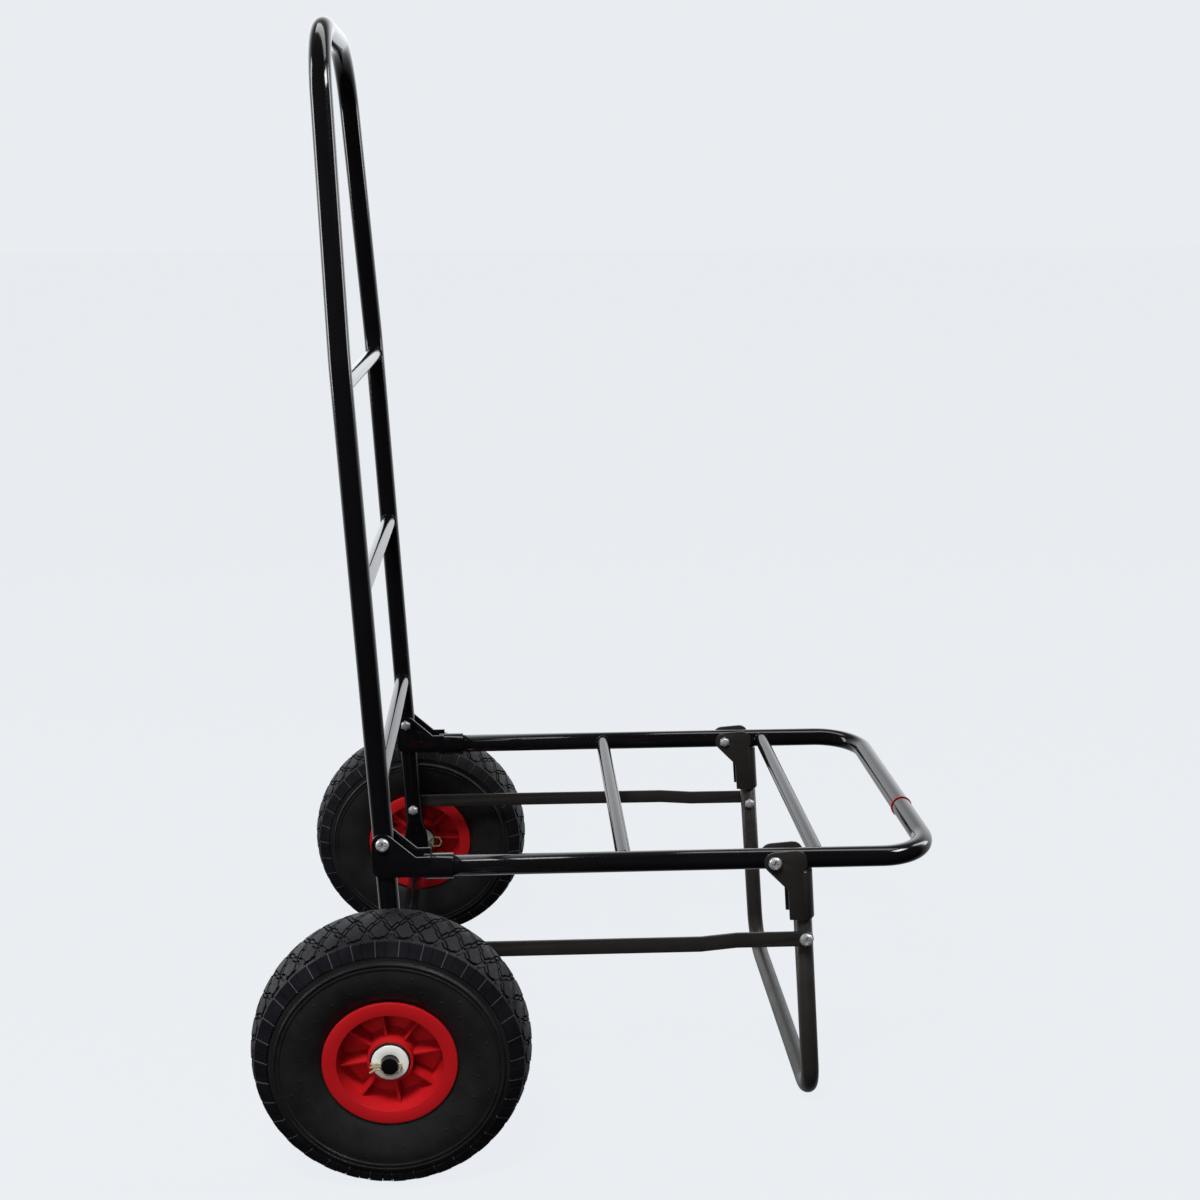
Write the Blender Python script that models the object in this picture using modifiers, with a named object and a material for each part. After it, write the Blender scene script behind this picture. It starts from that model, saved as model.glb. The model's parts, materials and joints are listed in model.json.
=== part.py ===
# Folding hand truck: bent-tube handle, folding platform with a leg frame, link bars and two tyred wheels.
# Metres, +Z up, platform towards +X, left side at +Y. The rest pose is unfolded, standing on the ground.
import math

import bmesh
import bpy
from mathutils import Matrix, Vector

# Wheels and axle
tyre_radius = 0.130
track_half = 0.255
axle_radius = 0.008
axle_half = 0.2935

# Frame tubes
frame_half = 0.175
tube_radius = 0.010
leg_tube_radius = 0.009
crossbar_radius = 0.0075
tube_wall = 0.0015
fit_gap = 0.0003

# Handle: its uprights lean back about the axle
handle_lean = math.radians(2.7)
handle_height = 1.049
handle_bend = 0.079
grip_half = 0.113
narrowing_height = 0.752
narrowing_bend = 0.100
crossbar_heights = (0.355, 0.543, 0.730)
platform_pivot_height = 0.302
link_pivot_height = 0.195
upright_end_drop = 0.018

# Platform, measured from the platform pivot
deck_drop = 0.028
deck_start = 0.024
deck_front = 0.5315
deck_bend = 0.050
leg_pivot_reach = 0.3745
deck_crossbars = (0.2305, 0.4190)

# Leg frame, measured from the leg pivot
leg_rake = math.radians(4.5)
leg_offset = 0.026
leg_top_drop = 0.013
link_pivot_drop = 0.082
leg_bend = 0.040

# Sheet steel and fasteners
sheet = 0.002
ear_face = tube_radius + fit_gap
link_width = 0.015
link_sheet = 0.003
link_front_gap = 0.0115
link_rear_gap = 0.0180
bolt_radius = 0.003
bolt_hole = 0.0034
spacer_radius = 0.006
fastener_steps = 10
ring_steps = 16
tube_sides = 16
band_radius = tube_radius + 0.0012

# Pivots on the lean line, in world metres
pivot_setback = math.tan(handle_lean) * (platform_pivot_height - tyre_radius)
axle_x = (tyre_radius - (deck_front + band_radius - pivot_setback)) / 2
axle_place = Vector((axle_x, 0, tyre_radius))


def on_upright(height):
    return Vector((axle_x - math.tan(handle_lean) * (height - tyre_radius), 0, height))


platform_pivot = on_upright(platform_pivot_height)
link_pivot = on_upright(link_pivot_height)
leg_pivot = platform_pivot + Vector((leg_pivot_reach, 0, -deck_drop))
leg_turn = Matrix.Rotation(-leg_rake, 4, "Y")
link_front_pivot = leg_pivot + leg_turn @ Vector((leg_offset, 0, -link_pivot_drop))
link_length = (link_front_pivot - link_pivot).length
link_angle = math.atan2(link_front_pivot.z - link_pivot.z, link_front_pivot.x - link_pivot.x)

sides = (("left", 1), ("right", -1))


def clear_scene():
    for item in list(bpy.data.objects):
        bpy.data.objects.remove(item, do_unlink=True)


def new_collection(name, helper=False):
    collection = bpy.data.collections.new(name)
    bpy.context.scene.collection.children.link(collection)
    collection.hide_render = helper
    return collection


def new_material(name, color, roughness, metallic):
    material = bpy.data.materials.new(name)
    material.use_nodes = True
    shader = material.node_tree.nodes["Principled BSDF"]
    shader.inputs["Base Color"].default_value = (*color, 1)
    shader.inputs["Roughness"].default_value = roughness
    shader.inputs["Metallic"].default_value = metallic
    material.diffuse_color = (*color, 1)
    return material


clear_scene()
part_collection = new_collection("hand_truck")
cutter_collection = new_collection("cutters", helper=True)

black_enamel = new_material("black_enamel", (0.010, 0.010, 0.011), 0.22, 0.0)
black_bracket = new_material("black_bracket", (0.013, 0.013, 0.014), 0.38, 0.0)
zinc_plate = new_material("zinc_plate", (0.62, 0.62, 0.60), 0.30, 1.0)
black_rubber = new_material("black_rubber", (0.022, 0.022, 0.024), 0.75, 0.0)
red_plastic = new_material("red_plastic", (0.62, 0.012, 0.012), 0.35, 0.0)
dark_plastic = new_material("dark_plastic", (0.03, 0.03, 0.03), 0.50, 0.0)
red_rubber = new_material("red_rubber", (0.45, 0.02, 0.02), 0.60, 0.0)


def new_frame(name, place, turn=0.0):
    """An empty on a joint's axis, turned about Y."""
    frame = bpy.data.objects.new(name, None)
    frame.empty_display_size = 0.03
    frame.location = place
    frame.rotation_euler = (0, turn, 0)
    part_collection.objects.link(frame)
    return frame


def add_piece(name, mesh, material, parent, place=(0, 0, 0), turn=(0, 0, 0)):
    piece = bpy.data.objects.new(name, mesh)
    piece.data.materials.clear()
    piece.data.materials.append(material)
    piece.parent = parent
    piece.location = place
    piece.rotation_euler = turn
    part_collection.objects.link(piece)
    return piece


def add_cutter(name, mesh, parent, place=(0, 0, 0), turn=(0, 0, 0)):
    cutter = bpy.data.objects.new(name, mesh)
    cutter.parent = parent
    cutter.location = place
    cutter.rotation_euler = turn
    cutter.hide_render = True
    cutter.display_type = "WIRE"
    cutter_collection.objects.link(cutter)
    return cutter


def combine(piece, other, operation):
    modifier = piece.modifiers.new(operation.lower(), "BOOLEAN")
    modifier.operation = operation
    modifier.object = other


def mesh_from(build):
    shape = bmesh.new()
    build(shape)
    bmesh.ops.recalc_face_normals(shape, faces=shape.faces)
    mesh = bpy.data.meshes.new("shape")
    shape.to_mesh(mesh)
    shape.free()
    return mesh


def rod_mesh(start, end, radius, count, capped=True):
    """A cylinder from start to end, with a flat facet facing up when it lies level."""
    start, end = Vector(start), Vector(end)
    along = end - start
    turn = along.to_track_quat("Z", "X").to_matrix().to_4x4() @ Matrix.Rotation(math.pi / count, 4, "Z")
    place = Matrix.Translation((start + end) / 2) @ turn

    def build(shape):
        bmesh.ops.create_cone(shape, cap_ends=capped, segments=count, radius1=radius, radius2=radius,
                              depth=along.length, matrix=place)

    return mesh_from(build)


def box_mesh(size, place=(0, 0, 0), turn=None):
    matrix = (turn or Matrix()) @ Matrix.Translation(place) @ Matrix.Diagonal((*size, 1))
    return mesh_from(lambda shape: bmesh.ops.create_cube(shape, size=1, matrix=matrix))


def curve_mesh(curve):
    holder = bpy.data.objects.new("path", curve)
    part_collection.objects.link(holder)
    graph = bpy.context.evaluated_depsgraph_get()
    mesh = bpy.data.meshes.new_from_object(holder.evaluated_get(graph))
    bpy.data.objects.remove(holder)
    bpy.data.curves.remove(curve)
    shape = bmesh.new()
    shape.from_mesh(mesh)
    bmesh.ops.remove_doubles(shape, verts=shape.verts, dist=1e-6)
    bmesh.ops.recalc_face_normals(shape, faces=shape.faces)
    shape.to_mesh(mesh)
    shape.free()
    return mesh


def swept_mesh(points, radius, count, tilt=0.0):
    """The open surface of a round tube along the points."""
    curve = bpy.data.curves.new("path", "CURVE")
    curve.dimensions = "3D"
    curve.bevel_depth = radius
    curve.bevel_resolution = (count - 4) // 2
    spline = curve.splines.new("POLY")
    spline.points.add(len(points) - 1)
    for point, place in zip(spline.points, points):
        point.co = (*place, 1)
        point.tilt = tilt
    return curve_mesh(curve)


def plate_mesh(outline, thickness):
    """A flat outline in X and Z, its thickness centred on Y."""
    curve = bpy.data.curves.new("outline", "CURVE")
    curve.dimensions = "2D"
    curve.fill_mode = "BOTH"
    curve.extrude = thickness / 2
    spline = curve.splines.new("POLY")
    spline.points.add(len(outline) - 1)
    for point, (x, z) in zip(spline.points, outline):
        point.co = (x, z, 0, 1)
    spline.use_cyclic_u = True
    mesh = curve_mesh(curve)
    mesh.transform(Matrix.Rotation(math.pi / 2, 4, "X"))
    return mesh


def arc(center, radius, first, last, steps):
    """Points of an arc between two angles in degrees."""
    angles = [math.radians(first + (last - first) * i / steps) for i in range(steps + 1)]
    return [(center[0] + radius * math.cos(a), center[1] + radius * math.sin(a)) for a in angles]


def rounded_path(corners, bends):
    """A path through the corners, with each inner corner rounded to its own bend radius."""
    corners = [Vector(corner) for corner in corners]
    path = [corners[0]]
    for before, corner, after, bend in zip(corners, corners[1:], corners[2:], bends):
        to_start = (before - corner).normalized()
        to_end = (after - corner).normalized()
        half = to_start.angle(to_end) / 2
        center = corner + (to_start + to_end).normalized() * bend / math.sin(half)
        first = (corner + to_start * bend / math.tan(half) - center).normalized()
        last = (corner + to_end * bend / math.tan(half) - center).normalized()
        steps = math.ceil(first.angle(last) / math.radians(18))
        for i in range(steps + 1):
            path.append(center + bend * first.slerp(last, i / steps))
    return path + [corners[-1]]


def turned_piece(name, profile, material, parent, place=(0, 0, 0), turn=(0, 0, 0), steps=32, ring=True):
    """A profile of (radius, distance along Y) points, turned about Y."""
    mesh = bpy.data.meshes.new(name)
    count = len(profile)
    edges = [(i, i + 1) for i in range(count - 1)]
    if ring:
        edges.append((count - 1, 0))
    mesh.from_pydata([(radius, along, 0) for radius, along in profile], edges, [])
    piece = add_piece(name, mesh, material, parent, place, turn)
    screw = piece.modifiers.new("turn", "SCREW")
    screw.axis = "Y"
    screw.steps = steps
    screw.render_steps = steps
    screw.use_merge_vertices = True
    screw.merge_threshold = 0.00001
    return piece


def turned_solid(name, profile, material, parent, place, turn):
    """A small piece whose profile starts and ends on the axis."""
    return turned_piece(name, profile, material, parent, place, turn, fastener_steps, ring=False)


def hollow(piece, wall=tube_wall):
    shell = piece.modifiers.new("wall", "SOLIDIFY")
    shell.thickness = wall
    shell.offset = -1
    shell.use_even_offset = True


def cut_hole(piece, name, parent, x, z, start, end, radius, count=12):
    cutter = add_cutter(name, rod_mesh((x, start, z), (x, end, z), radius, count), parent)
    combine(piece, cutter, "DIFFERENCE")


# --- Handle, fixed to the axle ---
handle = new_frame("handle", axle_place, -handle_lean)
platform_pivot_up = (platform_pivot - axle_place).length
link_pivot_up = (link_pivot - axle_place).length
handle_top_up = (handle_height - tube_radius - tyre_radius) / math.cos(handle_lean)


def flatten_ends(mesh, start=0.052, end=0.026, width_half=0.0135, depth_half=0.0042):
    """Presses the lower ends of the uprights flat where the axle passes through."""
    for vertex in mesh.vertices:
        share = min(max((start - vertex.co.z) / (start - end), 0), 1)
        share = share * share * (3 - 2 * share)
        side = math.copysign(frame_half, vertex.co.y)
        vertex.co.x *= 1 + share * (width_half / tube_radius - 1)
        vertex.co.y = side + (vertex.co.y - side) * (1 + share * (depth_half / tube_radius - 1))


def make_handle_tube():
    narrowing_up = (narrowing_height - tyre_radius) / math.cos(handle_lean)
    right_side = [(0, -frame_half, -upright_end_drop), (0, -frame_half, narrowing_up),
                  (0, -grip_half, handle_top_up)]
    left_side = [(x, -y, z) for x, y, z in reversed(right_side)]
    path = rounded_path(right_side + left_side, (narrowing_bend, handle_bend, handle_bend, narrowing_bend))
    pressed_heights = (0.026, 0.035, 0.044, 0.052)
    lower_right = [Vector((0, -frame_half, height)) for height in pressed_heights]
    lower_left = [Vector((0, frame_half, height)) for height in reversed(pressed_heights)]
    path = path[:1] + lower_right + path[1:-1] + lower_left + path[-1:]
    mesh = swept_mesh(path, tube_radius, tube_sides)
    flatten_ends(mesh)
    tube = add_piece("handle_tube", mesh, black_enamel, handle)
    hollow(tube)
    reach = frame_half + 0.03
    cut_hole(tube, "cut_platform_pivot", handle, 0, platform_pivot_up, -reach, reach, bolt_hole)
    cut_hole(tube, "cut_link_pivot", handle, 0, link_pivot_up, -reach, reach, bolt_hole)
    cut_hole(tube, "cut_axle", handle, 0, 0, -reach, reach, axle_radius + 2 * fit_gap, 20)


def crossbar(name, parent, x, z, side_radius, along_x):
    """A hollow bar between the two side tubes, its ends cut round to fit them."""
    mesh = rod_mesh((x, -frame_half, z), (x, frame_half, z), crossbar_radius, tube_sides, capped=False)
    bar = add_piece(name, mesh, black_enamel, parent)
    hollow(bar)
    step = Vector((0.05, 0, 0)) if along_x else Vector((0, 0, 0.05))
    for side, sign in sides:
        middle = Vector((x, sign * frame_half, z))
        fit = rod_mesh(middle - step, middle + step, side_radius + 2 * fit_gap, tube_sides)
        combine(bar, add_cutter(f"cope_{name}_{side}", fit, parent), "DIFFERENCE")


def bolt_profile(head_at, tip_at, head_radius=0.0065, head_height=0.004):
    """A domed head standing out from head_at, with its shank running in to tip_at."""
    angles = [math.radians(degrees) for degrees in (50, 0)]
    dome = [(head_radius * math.cos(a), head_at + head_height * math.sin(a)) for a in angles]
    return [(0, head_at + head_height)] + dome + [(bolt_radius, head_at), (bolt_radius, tip_at), (0, tip_at)]


def nut_dome(face_at, radius=0.0055, height=0.0045):
    """The outside of a domed nut that stands in from face_at."""
    angles = [math.radians(degrees) for degrees in (0, 50)]
    return [(radius * math.cos(a), face_at - height * math.sin(a)) for a in angles] + [(0, face_at - height)]


def nut_profile(face_at, far_at):
    """A domed nut standing in from face_at, its blind bore reaching to far_at."""
    bore = bolt_radius + fit_gap
    return [(0, far_at), (bore, far_at), (bore, face_at)] + nut_dome(face_at)


nut_depth = 0.003
ear_outer = ear_face + sheet + fit_gap


def facing(sign):
    """A half turn about Z for what faces -Y."""
    return (0, 0, 0 if sign > 0 else math.pi)


def add_fastener(name, parent, x, z, sign, head_at, nut_at):
    """A bolt with its head on the outside of the side tube, and its domed nut on the inside."""
    place = (x, sign * frame_half, z)
    tip_at = nut_at - nut_depth
    bolt, nut = bolt_profile(head_at, tip_at), nut_profile(nut_at, tip_at - fit_gap)
    turned_solid(f"{name}_bolt", bolt, zinc_plate, parent, place, facing(sign))
    turned_solid(f"{name}_nut", nut, zinc_plate, parent, place, facing(sign))


def make_handle():
    make_handle_tube()
    for number, height in enumerate(crossbar_heights, 1):
        crossbar(f"handle_crossbar_{number}", handle, 0, (height - tyre_radius) / math.cos(handle_lean),
                 tube_radius, along_x=False)
    for side, sign in sides:
        add_fastener(f"platform_pivot_{side}", handle, 0, platform_pivot_up, sign, ear_outer, -ear_outer)
        link_outer = link_rear_gap + link_sheet + fit_gap
        add_fastener(f"link_pivot_{side}", handle, 0, link_pivot_up, sign, link_outer, -ear_face)
        near, far = ear_face, link_rear_gap - fit_gap
        spacer = [(bolt_hole, near), (bolt_hole, far), (spacer_radius, far), (spacer_radius, near)]
        turned_piece(f"link_spacer_{side}", spacer, zinc_plate, handle, (0, sign * frame_half, link_pivot_up),
                     facing(sign), steps=ring_steps)


# --- Axle with its washers and cotter pins, fixed in the pressed ends of the uprights ---
axle_line = new_frame("axle_line", axle_place)
hub_half = 0.029
washer_radius = 0.017
washer_thickness = 0.002
washer_at = hub_half + 2 * fit_gap
cotter_at = 0.0345
cotter_radius = 0.0014


def ring_mesh(middle, radius, wire_radius, steps=10, count=6):
    """A closed wire ring in the X and Z plane."""

    def build(shape):
        start = Matrix.Translation((radius, 0, 0))
        bmesh.ops.create_circle(shape, segments=count, radius=wire_radius, matrix=start)
        bmesh.ops.spin(shape, geom=shape.edges[:], angle=math.tau, steps=steps, axis=(0, 1, 0), cent=(0, 0, 0),
                       use_merge=True)
        bmesh.ops.translate(shape, verts=shape.verts, vec=middle)

    return mesh_from(build)


def make_cotter(name, y):
    """A split pin across the axle: an eye on the platform's side, two spread tips on the other."""
    place = (0, y, 0)
    shank = rod_mesh((-0.0125, 0, 0), (0.0130, 0, 0), cotter_radius, 6)
    pin = add_piece(name, shank, zinc_plate, axle_line, place)
    eye = ring_mesh((0.0182, 0, 0), 0.0058, 0.0010)
    combine(pin, add_cutter(f"eye_{name}", eye, axle_line, place), "UNION")
    for number, spread in enumerate((-1, 1)):
        tip = rod_mesh((-0.0115, 0, 0), (-0.0185, 0, spread * 0.0050), 0.0010, 6)
        combine(pin, add_cutter(f"tip_{number}_{name}", tip, axle_line, place), "UNION")


def make_axle():
    mesh = rod_mesh((0, -axle_half, 0), (0, axle_half, 0), axle_radius, 20)
    axle = add_piece("axle", mesh, black_enamel, axle_line)
    for side, sign in sides:
        for face, out in (("outer", 1), ("inner", -1)):
            y = sign * (track_half + out * cotter_at)
            pin_hole = rod_mesh((-0.02, y, 0), (0.02, y, 0), cotter_radius + 2 * fit_gap, 6)
            combine(axle, add_cutter(f"cut_{face}_{side}", pin_hole, axle_line), "DIFFERENCE")
            make_cotter(f"cotter_pin_{face}_{side}", y)
            bore = axle_radius + fit_gap
            ring = [(bore, washer_at), (bore, washer_at + washer_thickness),
                    (washer_radius, washer_at + washer_thickness), (washer_radius, washer_at)]
            turned_piece(f"axle_washer_{face}_{side}", ring, zinc_plate, axle_line, (0, sign * track_half, 0),
                         facing(sign * out), steps=ring_steps)


# --- Platform, folding up about the platform pivot ---
platform = new_frame("platform", platform_pivot)
sleeve_start = 0.038
sleeve_end = 0.066
sleeve_radius = ear_face + sheet


def make_platform_frame():
    corners = [(deck_start, -frame_half, -deck_drop), (deck_front, -frame_half, -deck_drop),
               (deck_front, frame_half, -deck_drop), (deck_start, frame_half, -deck_drop)]
    mesh = swept_mesh(rounded_path(corners, (deck_bend, deck_bend)), tube_radius, tube_sides)
    loop = add_piece("platform_frame", mesh, black_enamel, platform)
    hollow(loop)
    reach = frame_half + 0.03
    cut_hole(loop, "cut_leg_pivot", platform, leg_pivot_reach, -deck_drop, -reach, reach, bolt_hole)


def make_rear_bracket(side, sign):
    """A sleeve round the end of the side tube, with two ears that reach back to the pivot."""
    ear = arc((0, 0), 0.0105, 180, 48, 8) + [(0.0312, -0.0141), (0.0440, -0.0141), (0.0440, -0.034)]
    ear += arc((-0.0025, -0.026), 0.008, 270, 180, 4)
    middle = sign * frame_half
    sleeve_ends = [(x, middle, -deck_drop) for x in (sleeve_start, sleeve_end)]
    sleeve = rod_mesh(*sleeve_ends, sleeve_radius, tube_sides, capped=False)
    bracket = add_piece(f"rear_bracket_{side}", sleeve, black_bracket, platform)
    hollow(bracket, sheet)
    for number, out in enumerate((-1, 1)):
        place = (0, middle + out * (ear_face + sheet / 2), 0)
        plate = add_cutter(f"ear_{number}_rear_bracket_{side}", plate_mesh(ear, sheet), platform, place)
        combine(bracket, plate, "UNION")
    cut_hole(bracket, f"cut_rear_bracket_{side}", platform, 0, 0, middle - 0.02, middle + 0.02, bolt_hole)


def make_platform():
    make_platform_frame()
    for number, reach in enumerate(deck_crossbars, 1):
        crossbar(f"platform_crossbar_{number}", platform, reach, -deck_drop, tube_radius, along_x=True)
    for side, sign in sides:
        make_rear_bracket(side, sign)
        add_fastener(f"leg_pivot_{side}", platform, leg_pivot_reach, -deck_drop, sign, ear_outer, -ear_outer)
    inner, half = tube_radius + fit_gap, 0.0010
    band = [(inner, -half), (inner, half), (band_radius, half), (band_radius, -half)]
    turned_piece("red_band", band, red_rubber, platform, (deck_front, -0.050, -deck_drop), steps=16)


# --- Leg frame, folding under the platform about the leg pivot ---
leg = new_frame("leg", leg_pivot, -leg_rake)
foot_height = leg_tube_radius * math.cos(math.pi / tube_sides)
leg_foot_drop = (leg_pivot.z + leg_offset * math.sin(leg_rake) - foot_height) / math.cos(leg_rake)


def make_leg_frame():
    """A U of tube, its section turned so that a flat facet of the foot bar meets the ground."""
    corners = [(leg_offset, -frame_half, -leg_top_drop), (leg_offset, -frame_half, -leg_foot_drop),
               (leg_offset, frame_half, -leg_foot_drop), (leg_offset, frame_half, -leg_top_drop)]
    path = rounded_path(corners, (leg_bend, leg_bend))
    mesh = swept_mesh(path, leg_tube_radius, tube_sides, math.pi / tube_sides + leg_rake)
    frame = add_piece("leg_frame", mesh, black_enamel, leg)
    hollow(frame)
    reach = frame_half + 0.03
    cut_hole(frame, "cut_link_front", leg, leg_offset, -link_pivot_drop, -reach, reach, bolt_hole)


def make_leg_bracket(side, sign):
    """A channel round the front of the leg tube, with two ears that reach back to the pivot."""
    middle = sign * frame_half
    channel_x = leg_offset - 0.001
    top, bottom = -0.0145, -0.063
    shell_ends = [(channel_x, middle, z) for z in (bottom, top)]
    shell = rod_mesh(*shell_ends, sleeve_radius, tube_sides, capped=False)
    bracket = add_piece(f"leg_bracket_{side}", shell, black_bracket, leg)
    hollow(bracket, sheet)
    rear_half = box_mesh((0.02, 0.04, top - bottom + 0.02), (channel_x - 0.010, middle, (top + bottom) / 2))
    combine(bracket, add_cutter(f"open_leg_bracket_{side}", rear_half, leg), "DIFFERENCE")
    ear = arc((0, 0), 0.0105, 224, 90, 8) + arc((channel_x - 0.004, 0.0005), 0.010, 90, 0, 4)
    ear += [(channel_x + 0.006, -0.006), (channel_x + 0.001, top), (channel_x + 0.001, bottom)]
    ear += [(0.0115, bottom + 0.002), (0.0115, -0.030)]
    for number, out in enumerate((-1, 1)):
        place = (0, middle + out * (ear_face + sheet / 2), 0)
        plate = add_cutter(f"ear_{number}_leg_bracket_{side}", plate_mesh(ear, sheet), leg, place)
        combine(bracket, plate, "UNION")
    cut_hole(bracket, f"cut_leg_bracket_{side}", leg, 0, 0, middle - 0.02, middle + 0.02, bolt_hole)


def make_leg():
    make_leg_frame()
    for side, sign in sides:
        make_leg_bracket(side, sign)
        face = leg_tube_radius + fit_gap
        stud = [(0, leg_tube_radius - fit_gap), (bolt_radius, leg_tube_radius - fit_gap), (bolt_radius, -face)]
        stud += nut_dome(-face)
        place = (leg_offset, sign * frame_half, -link_pivot_drop)
        turned_solid(f"link_front_{side}_stud", stud, zinc_plate, leg, place, facing(sign))


# --- Link bars, swinging about the link pivot ---
joggle_start, joggle_end = 0.298, 0.334


def crease(mesh, places):
    """Cuts a plate's faces across at each x, so that it can be bent there and every face stays flat."""
    shape = bmesh.new()
    shape.from_mesh(mesh)
    for x in places:
        everything = shape.verts[:] + shape.edges[:] + shape.faces[:]
        bmesh.ops.bisect_plane(shape, geom=everything, dist=1e-6, plane_co=(x, 0, 0), plane_no=(1, 0, 0))
    bmesh.ops.remove_doubles(shape, verts=shape.verts, dist=1e-6)
    shape.to_mesh(mesh)
    shape.free()


def make_link(side, sign):
    """A flat bar with round ends, stepped outwards along its rear part, and the bolt through its front end."""
    link = new_frame(f"link_{side}", link_pivot + Vector((0, sign * frame_half, 0)), -link_angle)
    rear_y = link_rear_gap + link_sheet / 2
    front_y = link_front_gap + link_sheet / 2
    end_radius = link_width / 2
    outline = arc((0, 0), end_radius, 90, 270, 8)
    outline += [(joggle_start, -end_radius), (joggle_end, -end_radius)]
    outline += arc((link_length, 0), end_radius, -90, 90, 8)
    outline += [(joggle_end, end_radius), (joggle_start, end_radius)]
    mesh = plate_mesh(outline, link_sheet)
    crease(mesh, (joggle_start, joggle_end))
    for vertex in mesh.vertices:
        share = min(max((vertex.co.x - joggle_start) / (joggle_end - joggle_start), 0), 1)
        vertex.co.y += sign * (rear_y + share * (front_y - rear_y))
    bar = add_piece(f"link_bar_{side}", mesh, black_bracket, link)
    cut_hole(bar, f"cut_link_rear_{side}", link, 0, 0, 0, sign * 0.03, bolt_hole)
    cut_hole(bar, f"cut_link_front_{side}", link, link_length, 0, 0, sign * 0.03, bolt_hole)
    bolt = bolt_profile(link_front_gap + link_sheet + fit_gap, leg_tube_radius + fit_gap)
    turned_solid(f"link_front_{side}_bolt", bolt, zinc_plate, link, (link_length, 0, 0), facing(sign))


# --- Wheels, turning freely on the axle ---
wheel_steps = 24
rim_seat = 0.0508
bead_radius = 0.0512
flange_radius = 0.0621
flange_at = 0.0338
bearing_radius = 0.0182
bearing_depth = 0.012
rib_count = 8
valve_at = -0.0105
rib_turns = {"left": 0.0, "right": math.radians(8.5)}
valve_sides = {"left": math.pi, "right": 0.0}


def mirrored(half):
    """A closed profile from its half at positive Y, which runs from the inside out."""
    return half + [(radius, -along) for radius, along in reversed(half) if along > 0]


def valve_turn(side):
    """The valve stands halfway between two ribs, on the side of the rim that its own frame gives."""
    half_way = rib_turns[side] + math.pi / rib_count
    return Matrix.Rotation(half_way + valve_sides[side], 4, "Y")


def make_rim(side, wheel):
    seat = bearing_radius + fit_gap
    seat_at = hub_half - bearing_depth
    half = [(0.0122, 0), (0.0122, seat_at), (seat, seat_at), (seat, hub_half), (0.0212, hub_half),
            (0.0212, 0.003), (0.0450, 0.003), (0.0485, flange_at), (flange_radius, flange_at),
            (flange_radius, 0.0310), (0.0535, 0.0292), (rim_seat, 0.0240), (rim_seat, 0)]
    rim = turned_piece(f"wheel_rim_{side}", mirrored(half), red_plastic, wheel, steps=wheel_steps)
    for number in range(rib_count):
        turn = Matrix.Rotation(rib_turns[side] + math.tau * number / rib_count, 4, "Y")
        rib = box_mesh((0.0275, 0.044, 0.0028), (0.0343, 0, 0), turn)
        combine(rim, add_cutter(f"rib_{number}_{side}", rib, wheel), "UNION")
    hole = rod_mesh((0.038, valve_at, 0), (0.058, valve_at, 0), 0.0046, 12)
    hole.transform(valve_turn(side))
    combine(rim, add_cutter(f"cut_valve_rim_{side}", hole, wheel), "DIFFERENCE")


def make_tyre(side, wheel):
    lining = [(0.1210, 0), (0.1150, 0.0300), (0.0940, 0.0376), (0.0700, 0.0310), (bead_radius, 0.0170)]
    outside = [(bead_radius, 0.0240), (0.0540, 0.0288), (0.0624, 0.0303), (0.0760, 0.0400), (0.0930, 0.0425),
               (0.1130, 0.0395), (0.1240, 0.0325), (0.1290, 0.0160), (tyre_radius, 0)]
    turned_piece(f"tyre_{side}", mirrored(lining + outside), black_rubber, wheel, steps=wheel_steps)


def make_inner_tube(side, wheel):
    half = [(bead_radius, 0), (bead_radius, 0.0160), (0.0700, 0.0303), (0.0940, 0.0368), (0.1140, 0.0295),
            (0.1202, 0)]
    tube = turned_piece(f"inner_tube_{side}", mirrored(half), black_rubber, wheel, steps=wheel_steps)
    hollow(tube, 0.002)
    hole = rod_mesh((0.048, valve_at, 0), (0.062, valve_at, 0), 0.0046, 12)
    hole.transform(valve_turn(side))
    combine(tube, add_cutter(f"cut_valve_tube_{side}", hole, wheel), "DIFFERENCE")


def make_valve(side, wheel):
    """A rubber stem with a brass tip, pointing in towards the hub."""
    profile = [(0, 0.0200), (0.0022, 0.0200), (0.0025, 0.0125), (0.0040, 0.0115), (0.0042, -0.004),
               (0, -0.004)]
    turn = valve_turn(side)
    place = turn @ Vector((0.0515, valve_at, 0))
    inwards = (turn @ Matrix.Rotation(math.pi / 2, 4, "Z")).to_euler()
    turned_solid(f"valve_stem_{side}", profile, dark_plastic, wheel, place, inwards)


def make_wheel(side, sign):
    wheel = new_frame(f"wheel_{side}", axle_place + Vector((0, sign * track_half, 0)))
    wheel.rotation_euler = facing(sign)
    make_rim(side, wheel)
    make_tyre(side, wheel)
    make_inner_tube(side, wheel)
    make_valve(side, wheel)
    bore = axle_radius + fit_gap
    inner_end = hub_half - bearing_depth + fit_gap
    bearing = [(bore, inner_end), (bore, hub_half), (bearing_radius, hub_half), (bearing_radius, inner_end)]
    for face, out in (("outer", 1), ("inner", -1)):
        name = f"wheel_bearing_{face}_{side}"
        turned_piece(name, bearing, dark_plastic, wheel, turn=facing(out), steps=ring_steps)


make_handle()
make_axle()
make_platform()
make_leg()
for side_name, side_sign in sides:
    make_link(side_name, side_sign)
    make_wheel(side_name, side_sign)
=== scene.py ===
import json
import math

import bmesh
import bpy
from mathutils import Matrix, Vector


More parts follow.
